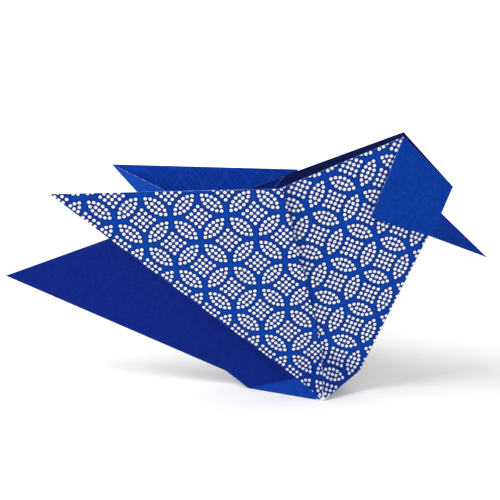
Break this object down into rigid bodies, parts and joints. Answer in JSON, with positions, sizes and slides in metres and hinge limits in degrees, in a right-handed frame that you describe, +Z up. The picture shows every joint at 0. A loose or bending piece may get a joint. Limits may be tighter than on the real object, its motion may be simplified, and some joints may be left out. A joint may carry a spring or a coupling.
{
  "type": "origami sparrow",
  "caption": "Small origami sparrow folded from a square of printed paper, standing on its flattened foot with raised wings, a long tail and a pointed beak.",
  "frame": {"origin": "on the table, at a point inside the flattened foot, in the bird's plane of symmetry", "axes": "+X towards the beak, +Y towards the bird's left wing, +Z up"},
  "size_m": [0.1536, 0.0622, 0.0821],
  "materials": {
    "paper": "matte printed craft paper"
  },
  "bodies": {
    "root": {"folded_sheet": "paper"}
  },
  "joints": []
}
